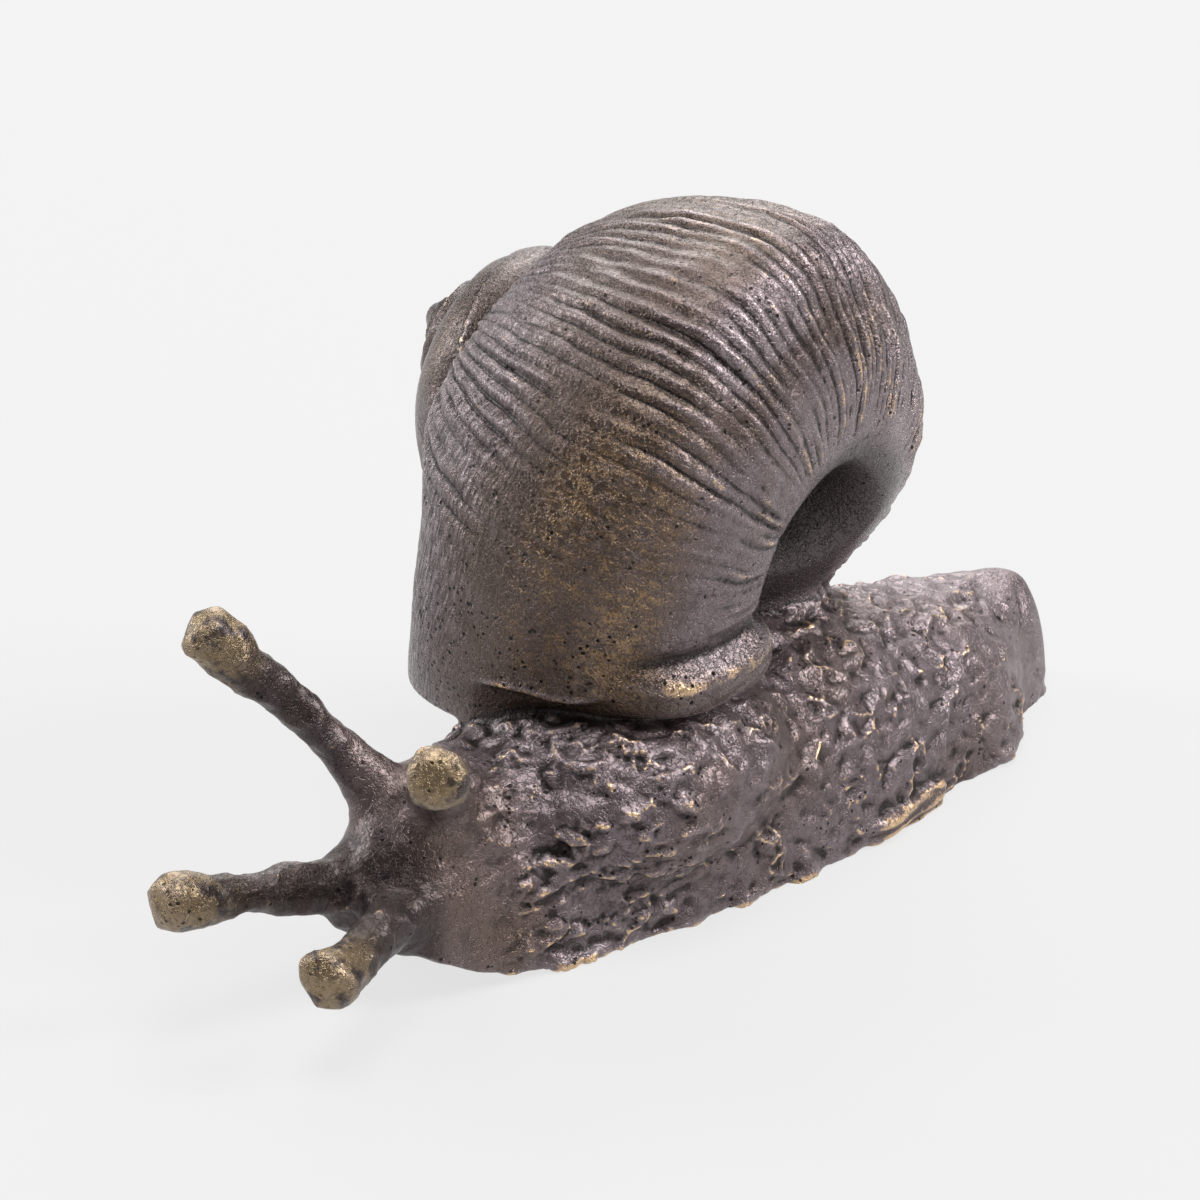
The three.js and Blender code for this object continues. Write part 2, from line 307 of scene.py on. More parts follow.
def smooth(xs, ys):
    """A smooth curve through the stations, level past both ends."""
    xs, ys = np.asarray(xs, float), np.asarray(ys, float)
    m = slopes(xs, ys)

    def value(x):
        x = np.clip(x, xs[0], xs[-1])
        i = np.clip(np.searchsorted(xs, x, side="right") - 1, 0, len(xs) - 2)
        step = xs[i + 1] - xs[i]
        s = (x - xs[i]) / step
        start = (1 + 2 * s) * (1 - s) ** 2
        end = s * s * (3 - 2 * s)
        bend = step * s * (1 - s) * ((1 - s) * m[i] - s * m[i + 1])
        return start * ys[i] + end * ys[i + 1] + bend

    return value


def ramp(x, low, high):
    """0 below low, 1 above high, and an easy S between them."""
    s = np.clip((np.asarray(x, float) - low) / (high - low), 0, 1)
    return s * s * (3 - 2 * s)


def window(x, starts, full, fades, ends):
    """1 from full to fades, and easing to 0 at starts and at ends."""
    return ramp(x, starts, full) * (1 - ramp(x, fades, ends))


def hump(x, middle, width, power=2):
    """1 at the middle and near 0 past the width, more squarely with a higher power."""
    return np.exp(-((x - middle) / width) ** power)


def powered(value, power):
    """The value's size to the power, with the value's own sign."""
    return np.sign(value) * np.abs(value) ** power


# ---- repeatable noise -----------------------------------------------------------------------------

random = np.random.default_rng(SEED)
SHUFFLE = random.permutation(256)
GRADIENTS = random.normal(size=(256, 3))
GRADIENTS /= np.linalg.norm(GRADIENTS, axis=1)[:, None]
JITTER = random.random((256, 3))


def cell_number(cells):
    """A repeatable number from 0 to 255 for each cell."""
    x, y, z = (cells & 255).T
    return SHUFFLE[(SHUFFLE[(SHUFFLE[x] + y) & 255] + z) & 255]


def noise(points):
    """Gradient noise, about -1 to 1, with bumps one unit apart.

    A number added to the points moves them to another part of it, so that two uses don't match.
    """
    cells = np.floor(points).astype(np.int64)
    local = points - cells
    fade = local ** 3 * (local * (local * 6 - 15) + 10)
    total = np.zeros(len(points))
    for corner in product((0, 1), repeat=3):
        corner = np.array(corner)
        weight = np.prod(np.where(corner == 1, fade, 1 - fade), axis=1)
        total += weight * np.einsum("ij,ij->i", GRADIENTS[cell_number(cells + corner)], local - corner)
    return 1.7 * total


def pebbles(points):
    """Distances to the nearest and second nearest of scattered points, one in each unit cell."""
    cells = np.floor(points).astype(np.int64)
    nearest = np.full(len(points), 9.0)
    second = nearest.copy()
    for step in product((-1, 0, 1), repeat=3):
        neighbour = cells + np.array(step)
        distance = np.linalg.norm(neighbour + JITTER[cell_number(neighbour)] - points, axis=1)
        second = np.minimum(second, np.maximum(nearest, distance))
        nearest = np.minimum(nearest, distance)
    return nearest, second


# ---- closed surfaces from rings -------------------------------------------------------------------

def loft(rings):
    """Points, quads and end triangles of a closed skin over rings of equal numbers of points."""
    count, around = rings.shape[:2]
    ends = rings[[0, -1]].mean(axis=1)
    points = np.concatenate([rings.reshape(-1, 3), ends])
    k = np.arange(around)
    following = (k + 1) % around
    starts = np.arange(count - 1)[:, None] * around
    quads = np.stack([starts + k, starts + following, starts + around + following, starts + around + k], -1)
    last = (count - 1) * around
    first_end = np.full(around, count * around)
    first_cap = np.stack([first_end, following, k], -1)
    last_cap = np.stack([first_end + 1, last + k, last + following], -1)
    return points, quads.reshape(-1, 4), np.concatenate([first_cap, last_cap])


def field_of(rings):
    """Signed distance to the skin over the rings, on the grid, negative inside."""
    points, quads, caps = loft(rings)
    grid = openvdb.FloatGrid.createLevelSetFromPolygons(
        points.astype(np.float32),
        triangles=caps.astype(np.uint32),
        quads=quads.astype(np.uint32),
        transform=openvdb.createLinearTransform(voxelSize=CELL),
        halfWidth=BAND / CELL,
    )
    field = np.empty(FIELD_SHAPE, np.float32)
    grid.copyToArray(field, ijk=FIELD_START)
    return field


def blend(first, second, width):
    """Union of two fields with a fillet about as wide as width."""
    share = np.clip(0.5 + 0.5 * (second - first) / width, 0, 1)
    return second + (first - second) * share - width * share * (1 - share)


# ---- shell ----------------------------------------------------------------------------------------

heading, rise = math.radians(AXIS_HEADING), math.radians(AXIS_RISE)
AXIS = np.array([math.cos(rise) * math.cos(heading), math.cos(rise) * math.sin(heading), math.sin(rise)])
AHEAD = np.array([1.0, 0.0, 0.0]) - AXIS * AXIS[0]
AHEAD /= np.linalg.norm(AHEAD)
ABOVE = np.cross(AXIS, AHEAD)
APEX = np.array(AXIS_POINT) + AXIS * APEX_HEIGHT
WHORL_CURVES = [smooth([row[0] for row in WHORL], [row[i] for row in WHORL]) for i in range(1, 9)]


def section_at(turn):
    """The columns of WHORL at a turn back from the lip, without the turn itself."""
    return [curve(np.minimum(turn, 1.0)) for curve in WHORL_CURVES]


def whorl_rings(start, end, rings, around):
    """Rings round the coiled tube. Past one turn back, every whorl repeats the last at a smaller size."""
    turn = np.linspace(start, end, rings)[:, None]
    angle = np.linspace(0, 2 * np.pi, around, endpoint=False)[None]
    outer, shoulder, inner, spire, keel, base, spire_power, base_power = section_at(turn)
    c, s = np.cos(angle), np.sin(angle)
    side = np.where(s > 0, spire_power, base_power)
    width = np.where(c > 0, outer - shoulder, shoulder - inner)
    depth = np.where(s > 0, spire - keel, keel - base)
    radius = shoulder + width * powered(c, np.where(c > 0, 2 / side, 1))
    level = keel + depth * powered(s, 2 / side)
    size = GROWTH_PER_TURN ** -np.maximum(turn - 1, 0)
    swing = math.radians(LIP_ANGLE) + 2 * np.pi * turn
    outward = np.cos(swing)[..., None] * AHEAD + np.sin(swing)[..., None] * ABOVE
    return APEX + (size * radius)[..., None] * outward + (size * (level - APEX_HEIGHT))[..., None] * AXIS


def round_rings(centres, along, radii, around=48):
    """Rings square to a path, for a tube of changing radius."""
    sideways = np.cross((0, 0, 1), along)
    sideways /= np.linalg.norm(sideways, axis=1)[:, None]
    upwards = np.cross(along, sideways)
    angle = np.linspace(0, 2 * np.pi, around, endpoint=False)[None, :, None]
    across = np.cos(angle) * sideways[:, None] + np.sin(angle) * upwards[:, None]
    return centres[:, None] + np.asarray(radii)[:, None, None] * across


def ball_rings(centre, radius, steps=24):
    tilt = np.linspace(0.02, np.pi - 0.02, steps)
    centres = centre - np.cos(tilt)[:, None] * radius * AXIS
    return round_rings(centres, np.tile(AXIS, (steps, 1)), radius * np.sin(tilt))


def rearward_of(x, y):
    """Distance along the shell's mouth from its middle, more towards the arch and less to the head."""
    return LIP_DIRECTION[0] * (x - LIP_MIDDLE) + LIP_DIRECTION[1] * y


def shell_field(xs, ys, zs):
    """The coiled tube, with its front tucked in under the lip and cut off level at the mouth."""
    front = field_of(whorl_rings(FIRST_TURN, FRONT_PIECE_END, *FRONT_MESH))
    along_lip = rearward_of(xs[:, None, None], ys[None, :, None])
    below_lip = np.maximum(LIP_LEVEL - TUCK_BELOW_LIP - zs, 0)[None, None, :]
    tuck = TUCK_SLOPE * below_lip * ramp(along_lip, *TUCK_ALONG_LIP)
    below_mouth = (MOUTH_HEIGHT - zs).astype(np.float32)[None, None, :]
    front = np.maximum(front + tuck.astype(np.float32), below_mouth)
    back = field_of(whorl_rings(FRONT_PIECE_END - PIECE_OVERLAP, LAST_TURN, *COIL_MESH))
    ends = np.array([np.array(AXIS_POINT) + AXIS * level for level in (PILLAR_FOOT, PILLAR_TOP)])
    pillar = field_of(round_rings(ends, np.tile(AXIS, (2, 1)), (PILLAR_FOOT_RADIUS, PILLAR_TOP_RADIUS)))
    tip = field_of(ball_rings(APEX - AXIS * APEX_TIP_DEPTH, APEX_TIP_RADIUS))
    behind = ramp(INNER_CORNER_X - xs, 0, 4)[:, None, None]
    inner_corner = behind * (1 - ramp(zs, *INNER_CORNER_TOP))[None, None, :]
    fillet = (SUTURE_FILLET + INNER_CORNER_FILLET * inner_corner).astype(np.float32)
    return blend(front, np.minimum(back, blend(pillar, tip, APEX_FILLET)), fillet)


# ---- foot, head and tentacles ---------------------------------------------------------------------

def body_rings(count=500, around=180):
    place = np.arange(len(BODY))
    at = np.linspace(0, len(BODY) - 1, count)[:, None]
    x, middle, half, top, under = [smooth(place, [row[i] for row in BODY])(at) for i in range(5)]
    angle = np.linspace(0, np.pi, around)[None]
    y = middle + half * powered(np.cos(angle), FLANK_POWER)
    z = under + (top - under) * np.maximum(np.sin(angle), 0) ** CROWN_POWER
    arch = np.stack([np.broadcast_to(x, y.shape), y, z], -1)
    across = np.linspace(-1, 1, 42)[None, 1:-1]
    sole_y = middle + half * across
    sole = np.stack([np.broadcast_to(x, sole_y.shape), sole_y, np.broadcast_to(under, sole_y.shape)], -1)
    return np.concatenate([arch, sole], axis=1)


def mantle_rings(steps=60, around=90):
    tilt = np.linspace(0.01, np.pi - 0.01, steps)[:, None]
    angle = np.linspace(0, 2 * np.pi, around, endpoint=False)[None]
    forward = -np.cos(tilt) + 0 * angle
    sideways = np.sin(tilt) * np.cos(angle)
    upward = np.sin(tilt) * np.sin(angle)
    ball = np.stack([forward, sideways, upward], -1)
    return np.array(MANTLE_MIDDLE) + np.array(MANTLE_HALF) * ball


def spline(points, count):
    """A smooth path through the points, at even steps of their numbers, and its directions."""
    points = np.asarray(points, float)
    padded = np.concatenate([[2 * points[0] - points[1]], points, [2 * points[-1] - points[-2]]])
    at = np.linspace(0, len(points) - 1, count)
    i = np.minimum(at.astype(int), len(points) - 2)
    s = (at - i)[:, None]
    p0, p1, p2, p3 = padded[i], padded[i + 1], padded[i + 2], padded[i + 3]
    path = 0.5 * (2 * p1 + (p2 - p0) * s + (2 * p0 - 5 * p1 + 4 * p2 - p3) * s ** 2
                  + (3 * p1 - p0 - 3 * p2 + p3) * s ** 3)
    along = np.gradient(path, axis=0)
    return path, along / np.linalg.norm(along, axis=1)[:, None]


def tentacle_rings(line, radii, count=60):
    path, along = spline(line, count)
    radius = smooth(range(len(radii)), radii)(np.linspace(0, len(radii) - 1, count))
    bend = np.radians(np.linspace(8, 88, 14))
    dome = path[-1] + along[-1] * (TIP_DOME * radii[-1] * np.sin(bend))[:, None]
    centres = np.concatenate([path, dome])
    directions = np.concatenate([along, np.tile(along[-1], (len(bend), 1))])
    return round_rings(centres, directions, np.concatenate([radius, radii[-1] * np.cos(bend)]))


# ---- one skin -------------------------------------------------------------------------------------

def grid_axes():
    return [(start + np.arange(size)) * CELL for start, size in zip(FIELD_START, FIELD_SHAPE)]


def join_fields():
    """The whole casting's field, and those of its shell and of its foot."""
    xs, ys, zs = grid_axes()
    shell = shell_field(xs, ys, zs)
    foot = blend(field_of(body_rings()), field_of(mantle_rings()), MANTLE_FILLET)
    for line, radii in TENTACLES.values():
        foot = blend(foot, field_of(tentacle_rings(line, radii)), TENTACLE_FILLET)
    wider = (BACK_FILLET - SHELL_FILLET) * ramp(-xs, *BACK_FILLET_BEHIND)
    fillet = (SHELL_FILLET + wider)[:, None, None].astype(np.float32)
    return blend(shell, foot, fillet), shell, foot


def skin_of(field):
    grid = openvdb.FloatGrid(BAND)
    grid.copyFromArray(field, ijk=FIELD_START)
    grid.transform = openvdb.createLinearTransform(voxelSize=CELL)
    points, quads = grid.convertToQuads(0.0)
    return points.astype(float), quads.astype(np.int64)


def sample(field, points):
    """The field's value at any points, straight-line between grid points."""
    place = points / CELL - np.array(FIELD_START)
    cells = np.clip(np.floor(place).astype(int), 0, np.array(FIELD_SHAPE) - 2)
    local = place - cells
    total = np.zeros(len(points))
    for corner in product((0, 1), repeat=3):
        corner = np.array(corner)
        weight = np.prod(np.where(corner == 1, local, 1 - local), axis=1)
        i, j, k = (cells + corner).T
        total += weight * field[i, j, k]
    return total


def normals_of(points, quads):
    corners = points[quads]
    face = np.cross(corners[:, 2] - corners[:, 0], corners[:, 3] - corners[:, 1])
    sums = [np.bincount(quads.ravel(), np.repeat(column, 4), len(points)) for column in face.T]
    total = np.stack(sums, -1)
    return total / np.maximum(np.linalg.norm(total, axis=1), 1e-12)[:, None]


def edges_of(quads):
    pairs = np.concatenate([quads[:, [i, (i + 1) % 4]] for i in range(4)])
    return np.unique(np.sort(pairs, axis=1), axis=0)


def averaged(values, edges):
    """Each vertex's values averaged over its neighbours."""
    a, b = edges.T
    count = np.bincount(np.concatenate([a, b]), minlength=len(values))
    columns = values.reshape(len(values), -1)
    total = [np.bincount(a, c[b], len(values)) + np.bincount(b, c[a], len(values)) for c in columns.T]
    return (np.stack(total, -1) / np.maximum(count, 1)[:, None]).reshape(values.shape)


def relaxed(points, edges, rounds, share=0.5):
    for _ in range(rounds):
        points = points + share * (averaged(points, edges) - points)
    return points


def make_skin():
    """The casting's smooth skin, before it is worked over."""
    field, shell, foot = join_fields()
    points, quads = skin_of(field)
    edges = edges_of(quads)
    points = relaxed(points, edges, SMOOTHING_ROUNDS)
    return points, quads, edges, shell, foot


# ---- where a point lies on the shell --------------------------------------------------------------

def shell_place(points):
    """Turn back from the lip, angle round the section, distance from the axis, nearness to a seam."""
    away = points - APEX
    height = away @ AXIS
    radial = away - height[:, None] * AXIS
    distance = np.linalg.norm(radial, axis=1)
    swing = np.arctan2(radial @ ABOVE, radial @ AHEAD)
    first = np.mod((swing - math.radians(LIP_ANGLE)) / (2 * np.pi) - FIRST_TURN, 1.0) + FIRST_TURN
    best_miss, next_miss = np.full(len(points), np.inf), np.full(len(points), np.inf)
    turn, across = np.zeros(len(points)), np.zeros(len(points))
    for whole in range(math.ceil(LAST_TURN)):
        candidate = first + whole
        size = GROWTH_PER_TURN ** -np.maximum(candidate - 1, 0)
        outer, shoulder, inner, spire, keel, base, spire_power, base_power = section_at(candidate)
        sideways = distance / size - shoulder
        upwards = height / size + APEX_HEIGHT - keel
        width = np.where(sideways > 0, outer - shoulder, shoulder - inner)
        depth = np.where(upwards > 0, spire - keel, keel - base)
        side = np.where(upwards > 0, spire_power, base_power)
        c = powered(sideways / width, np.where(sideways > 0, side / 2, 1))
        s = powered(upwards / depth, side / 2)
        miss = np.abs(np.hypot(c, s) - 1) * np.minimum(width, depth) * size
        closer = miss < best_miss
        next_miss = np.where(closer, best_miss, np.minimum(next_miss, miss))
        best_miss = np.where(closer, miss, best_miss)
        turn = np.where(closer, candidate, turn)
        across = np.where(closer, np.arctan2(s, c), across)
    return turn, across, distance, np.exp(-(next_miss / SEAM_WIDTH) ** 2)


def growth(turn):
    """Turns counted so that a step is about the same length on every whorl."""
    rate = math.log(GROWTH_PER_TURN)
    return np.where(turn < 1, turn, 1 + (1 - GROWTH_PER_TURN ** -np.maximum(turn - 1, 0)) / rate)


# ---- working over the wax -------------------------------------------------------------------------

def growth_folds(points, turn, across, distance):
    """Rounded folds with narrow grooves across the whorl, each strong here and faint there."""
    wander = 0.5 * noise(points / 11.0) + 0.13 * noise(points / 3.5 + 5)
    phase = FOLDS_PER_TURN * growth(turn) + wander

    def patches(per_fold, per_radian, per_mm):
        return noise(np.stack([per_fold * phase, per_radian * across, per_mm * distance], -1))

    even = np.abs(np.sin(np.pi * phase)) ** 0.7 - 0.72
    wide = np.abs(np.sin(np.pi * (0.37 * phase + 0.25 * noise(points / 6.0 + 9)))) - 0.64
    uneven = np.clip(0.62 + 1.1 * patches(0.45, 1.5, 0.03), 0.05, 1.6)
    started = ramp(turn + 0.08 * ramp(np.abs(across + 0.2), 0.5, 0.9), *FOLD_TURNS)
    outside = ramp(distance, *FOLD_RADIUS)
    by_the_suture = 1 - 0.4 * ramp(across, 0.4, 1.1)
    base_side = 1 - 0.3 * ramp(-across, 0.75, 1.0)
    even_height = even * np.where(even < 0, uneven, 0.7 + 0.3 * uneven)
    height = even_height + 0.3 * wide * uneven * by_the_suture
    folds = started * outside * height * base_side * by_the_suture
    crossed = 0.22 * patches(0.5, 9.0, 0.1)
    broken = 0.4 * patches(1.3, 3.0, 0.08)
    return FOLD_HEIGHT * (folds + started * outside * (crossed + broken)) - valley(turn, across)


def valley(turn, across):
    """Depth of the valley, which starts at the base and climbs to its angle as the whorl goes back."""
    middle = VALLEY_ANGLE - VALLEY_CLIMB * ramp(-turn, *VALLEY_CLIMBS)
    return VALLEY_DEPTH * hump(across, middle, VALLEY_SPREAD) * window(turn, *VALLEY_REACH)


def lip(points, turn):
    """The rolled bead along the mouth, fat towards the arch and fading to a ledge by the head."""
    x, y, z = points.T
    along_lip = rearward_of(x, y)
    near = (1 - ramp(turn, *LIP_TURNS)) * ramp(along_lip, *LIP_STARTS)
    above = z + 0.35 * noise(points / 4.0 + 40) - LIP_LEVEL
    bead = BEAD_HEIGHT * ramp(along_lip, *BEAD_SWELLS) * ramp(x, *BEAD_FADES)
    bead *= hump(above, 0.1, BEAD_HALF_WIDTH, 4)
    ledge = LEDGE_HEIGHT * (1 - ramp(along_lip, *LEDGE_FADES))
    ledge *= hump(above, 0, LEDGE_HALF_WIDTH) - ramp(-above, 0.1, 0.7)
    groove = GROOVE_DEPTH * hump(above, GROOVE_ABOVE_BEAD, GROOVE_HALF_WIDTH)
    groove *= ramp(along_lip, *GROOVE_SWELLS)
    return near * (bead + ledge - groove)


def hide(points):
    """Hammered skin: knobs, small hollow facets that meet in short crests, and shoulder wrinkles."""
    stretched = points * np.array([0.85, 1.0, 1.1])
    warp = np.stack([noise(stretched / 1.7 + k) for k in (0, 17, 31)], -1)
    lumps = noise(points / LUMP_SPACING)
    knobs = noise((stretched + 0.4 * warp) / KNOB_SPACING + 7)
    nearest, second = pebbles((stretched + 0.6 * warp) / FACET_SPACING)
    facets = nearest ** 2 - 0.33
    crests = hump(second - nearest, 0, 0.12) * ramp(noise(points / 2.2 + 12), -0.1, 0.5)
    wrinkled = ramp(noise(points * np.array([0.42, 0.42, 1.0]) + 80), 0.1, 0.5)
    wrinkles = window(points[:, 0], *SHOULDER) * wrinkled
    strength = 0.9 + 0.35 * noise(points / 6.0 + 2)
    relief = 0.3 * lumps + 0.42 * knobs + 0.5 * facets + 0.35 * crests + 0.6 * wrinkles
    return HIDE_HEIGHT * strength * relief


def dents(points):
    """Hollow facets that meet in soft edges, as fingers and tools leave them in wax."""
    broad, _ = pebbles(points / BROAD_DENT_SPACING)
    narrow, _ = pebbles(points / NARROW_DENT_SPACING + 8)
    return 0.6 * broad ** 2 + 0.28 * narrow ** 2 - 0.25


def past_tail_fold(points):
    """How far a point lies behind the fold across the tail, which wavers a little."""
    x, _, z = points.T
    straight = x - TAIL_FOLD_X + TAIL_FOLD_SLOPE * z
    return -straight + 1.1 * noise(points / 4.5 + 60) + 0.4 * noise(points / 1.6 + 61)


def flattened_flap(points):
    """1 on the flap at the foot's left rim, where the casting was pressed flat and rubbed."""
    x, y, z = points.T
    return ramp(y, *FLAP_ACROSS) * window(x, *FLAP_ALONG) * (1 - ramp(z, *FLAP_HEIGHT))


def ragged_rim(points, free, tail_cap, flap):
    """How far the foot's rim stands out past its smooth outline."""
    rim = (1 - ramp(points[:, 2], *RIM_HEIGHT)) * free
    ragged = rim * (0.5 * noise(points / 3.6) + 0.25 * noise(points / 1.4)) - TAIL_CAP_SINK * tail_cap
    layers = 0.7 + 0.5 * noise(points * np.array([0.22, 0.22, 1.7]))
    return ragged * (1 - flap) + flap * layers


def tentacle_marks(points):
    """1 at the tentacles' tips, and 1 on the face and stalks between and behind them, which get painted
    shade.
    """
    x = points[:, 0]
    tips = np.array([line[-1] for line, _ in TENTACLES.values()])
    reach = np.linalg.norm(points[:, None] - tips, axis=2).min(1)
    away = ramp(reach, *FACE_REACH)
    face = ramp(x, *FACE_BY_TIPS) * (1 - away) + ramp(x, *FACE_AWAY) * away
    return 1 - ramp(reach, *TIP_REACH), face


def lip_marks(points, turn):
    """1 on top of the bead, where it is rubbed, and 1 on its brown underside."""
    x, y, z = points.T
    along_lip = rearward_of(x, y)
    near = 1 - ramp(turn, *LIP_TURNS)
    top = near * hump(z - LIP_LEVEL, 0.9, 0.8) * ramp(along_lip, *BEAD_RUBBED) * ramp(x, *BEAD_FADES)
    below = 1 - ramp(z, LIP_LEVEL - 0.8, LIP_LEVEL + 0.4)
    under = near * ramp(along_lip, *UNDER_LIP_STARTS) * below
    return top, under


def work_over(points, normals, shell, foot):
    """The skin's points moved to their relief, and the marks that the bronze is coloured by."""
    on_shell = 1 - ramp(sample(shell, points) - sample(foot, points), -0.4, 0.5)
    on_foot = 1 - on_shell
    turn, across, distance, seam = shell_place(points)
    x, y, z = points.T
    head = ramp(x, *HEAD)
    upper_stalk = ramp(z, *UPPER_STALKS_ABOVE) * ramp(x, *UPPER_STALKS_AHEAD)
    stalk = np.clip(ramp(x, *STALKS_AHEAD) + upper_stalk, 0, 1)
    past_fold = past_tail_fold(points)
    left_side = ramp(y, *LEFT_SIDE) * on_foot
    tail_cap = ramp(past_fold, -0.2, 0.5) * left_side
    flap = flattened_flap(points) * on_foot

    folds = growth_folds(points, turn, across, distance) + lip(points, turn) - SEAM_DEPTH * seam
    smooth_ends = np.maximum(0.8 * ramp(x, *SMOOTH_HEAD), ramp(-x, *SMOOTH_TAIL))
    worn_tail = np.maximum(0.6 * tail_cap, 0.4 * ramp(-x, *WORN_TAIL))
    smooth_parts = np.maximum(smooth_ends, worn_tail)
    skin = hide(points) * (1 - smooth_parts) + dents(points) * np.maximum(0.35 * head, stalk)
    height = on_shell * folds + on_foot * skin * (1 - flap)
    sole = ramp(-normals[:, 2], *SOLE_FACING) * (1 - ramp(z, *SOLE_HEIGHT))
    moved = points + normals * (height * (1 - sole))[:, None]
    outward = normals * np.array([1, 1, 0])
    moved += outward * ragged_rim(points, (1 - stalk) * on_foot, tail_cap, flap)[:, None]
    moved[:, 2] = np.maximum(moved[:, 2], 0)

    level = (points - np.array(AXIS_POINT)) @ AXIS
    fold_edge = hump(past_fold, 0, TAIL_FOLD_WIDTH) * left_side * ramp(noise(points / 3.0 + 33), -0.2, 0.4)
    bead_top, under_lip = lip_marks(points, turn)
    tip, face = tentacle_marks(points)
    marks = {
        "on_shell": on_shell,
        "turn": turn,
        "across": across,
        "head": head,
        "tip": tip,
        # Painted shade goes on the face between the tentacles and in the umbilicus; in the umbilicus it
        # also stands for settled patina.
        "face": face,
        "rubbed_edge": np.maximum(np.maximum(flap, 0.7 * fold_edge), 0.9 * on_shell * bead_top),
        "pocket": on_shell * (1 - ramp(distance, *POCKET_RADIUS)) * (1 - ramp(level, *POCKET_LEVEL)),
        "tail": ramp(-x, *PALE_TAIL) * on_foot,
        "seam": seam * on_shell,
        "under_lip": on_shell * under_lip,
    }
    return moved, marks


# ---- build the piece ------------------------------------------------------------------------------

MOST_TRIANGLES = 194000
NEAR_ROUNDS = 2
FAR_ROUNDS = 14


def reliefs(points, quads, edges):
    """How far each vertex stands above its surroundings, close by and further off."""
    normals = normals_of(points, quads)
    near = relaxed(points, edges, NEAR_ROUNDS)
    far = relaxed(near, edges, FAR_ROUNDS)
    ridge = ((points - near) * normals).sum(1)
    bulk = ((near - far) * normals).sum(1)
    return ridge, bulk


def thin_out(piece):
    """Merges faces where the skin is nearly flat, until few enough are left."""
    modifier = piece.modifiers.new("fewer_faces", "DECIMATE")
    modifier.ratio = min(1.0, MOST_TRIANGLES / (2 * len(piece.data.polygons)))
    graph = bpy.context.evaluated_depsgraph_get()
    thinned = bpy.data.meshes.new_from_object(piece.evaluated_get(graph))
    piece.modifiers.clear()
    piece.data = thinned


def make_snail():
    """The casting's skin, centred over the CAD model's box, and how far that moved it."""
    points, quads, edges, shell, foot = make_skin()
    volume = (points[quads[:, 0]] * np.cross(points[quads[:, 1]], points[quads[:, 2]])).sum()
    if volume < 0:  # the faces look inward
        quads = quads[:, ::-1]
    low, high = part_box("snail_casting")
    middle = np.array([low.x + high.x, low.y + high.y]) / 2 / MM
    offset = middle - (points.min(0) + points.max(0))[:2] / 2
    points, marks = work_over(points, normals_of(points, quads), shell, foot)
    marks["ridge"], marks["bulk"] = reliefs(points, quads, edges)
    points[:, :2] += offset
    mesh = bpy.data.meshes.new("snail")
    mesh.from_pydata((points * MM).tolist(), [], quads.tolist())
    for name, values in marks.items():
        mesh.attributes.new(name, "FLOAT", "POINT").data.foreach_set("value", values.astype(np.float32))
    mesh.shade_smooth()
    snail = bpy.data.objects.new("bronze_snail", mesh)
    bpy.context.scene.collection.objects.link(snail)
    thin_out(snail)
    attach(snail, "root")
    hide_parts("snail_casting")
    return snail, Vector((offset[0], offset[1], 0)) * MM


# ---- bronze ---------------------------------------------------------------------------------------

class Nodes:
    """Short names for the shader nodes that the bronze is made of."""

    def __init__(self, material):
        self.tree = material.node_tree

    def link(self, source, target):
        if isinstance(source, (int, float, tuple)):
            target.default_value = source
        else:
            self.tree.links.new(source, target)

    def mark(self, name):
        node = self.tree.nodes.new("ShaderNodeAttribute")
        node.attribute_name = name
        return node.outputs["Fac"]

    def place(self):
        return self.tree.nodes.new("ShaderNodeTexCoord").outputs["Object"]

    def math(self, kind, a, b=0.0):
        node = self.tree.nodes.new("ShaderNodeMath")
        node.operation = kind
        self.link(a, node.inputs[0])
        self.link(b, node.inputs[1])
        return node.outputs[0]

    def times(self, a, b):
        return self.math("MULTIPLY", a, b)

    def plus(self, a, b):
        return self.math("ADD", a, b)

    def ramp(self, value, low, high, start=0.0, end=1.0):
        node = self.tree.nodes.new("ShaderNodeMapRange")
        node.interpolation_type = "SMOOTHSTEP"
        self.link(value, node.inputs["Value"])
        for name, number in (("From Min", low), ("From Max", high), ("To Min", start), ("To Max", end)):
            node.inputs[name].default_value = number
        return node.outputs["Result"]

    def window(self, value, starts, full, fades, ends):
        return self.times(self.ramp(value, starts, full), self.ramp(value, ends, fades))

    def noise(self, place, per_metre, detail=2.0, rough=0.5):
        node = self.tree.nodes.new("ShaderNodeTexNoise")
        self.link(place, node.inputs["Vector"])
        node.inputs["Scale"].default_value = per_metre
        node.inputs["Detail"].default_value = detail
        node.inputs["Roughness"].default_value = rough
        return node.outputs["Fac"]

    def dots(self, place, per_metre):
        node = self.tree.nodes.new("ShaderNodeTexVoronoi")
        self.link(place, node.inputs["Vector"])
        node.inputs["Scale"].default_value = per_metre
        return node.outputs["Distance"]

    def vector(self, x, y, z):
        node = self.tree.nodes.new("ShaderNodeCombineXYZ")
        for value, socket in zip((x, y, z), node.inputs):
            self.link(value, socket)
        return node.outputs[0]

    def mix(self, share, first, second):
        node = self.tree.nodes.new("ShaderNodeMix")
        node.data_type = "RGBA"
        self.link(share, node.inputs["Factor"])
        self.link(first, node.inputs["A"])
        self.link(second, node.inputs["B"])
        return node.outputs["Result"]


